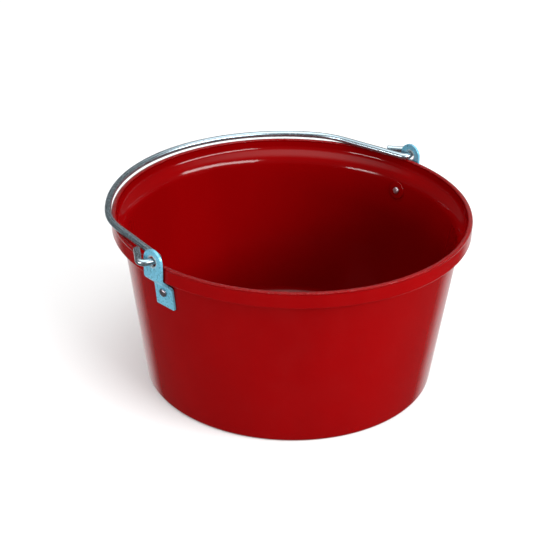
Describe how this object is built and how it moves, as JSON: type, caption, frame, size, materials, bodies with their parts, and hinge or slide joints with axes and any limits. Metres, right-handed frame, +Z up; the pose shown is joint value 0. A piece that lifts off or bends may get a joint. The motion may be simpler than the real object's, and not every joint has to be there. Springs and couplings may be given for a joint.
{
  "type": "feed bucket",
  "caption": "Round tapered plastic feed bucket with a banded rim, two riveted steel ear brackets and a folding wire bail.",
  "frame": {"origin": "centre of the flat underside of the bucket, on the floor", "axes": "+Z up out of the mouth; X along the bail's hinge axis, through both ear brackets; +Y towards the side of the rim where the folded bail lies"},
  "size_m": [0.4112, 0.3855, 0.2066],
  "materials": {
    "red_plastic": "smooth gloss moulded finish with faint orange peel and fine scuffs",
    "zinc_plate": "bright zinc plate with a blue passivate tint",
    "zinc_wire": "zinc-plated drawn wire",
    "rivet_steel": "plated steel, polished by setting"
  },
  "bodies": {
    "bucket": {"bucket_shell": "red_plastic", "ear_bracket_right": "zinc_plate", "ear_bracket_left": "zinc_plate", "ear_rivet_right": "rivet_steel", "ear_rivet_left": "rivet_steel", "rivet_washer_right": "red_plastic", "rivet_washer_left": "red_plastic"},
    "handle": {"bail": "zinc_wire"}
  },
  "joints": [
    {"name": "bail_swing", "type": "hinge", "parent": "bucket", "child": "handle", "pos_m": [0, 0, 0.1938], "axis": [1, 0, 0], "range_deg": [0, 180]}
  ]
}
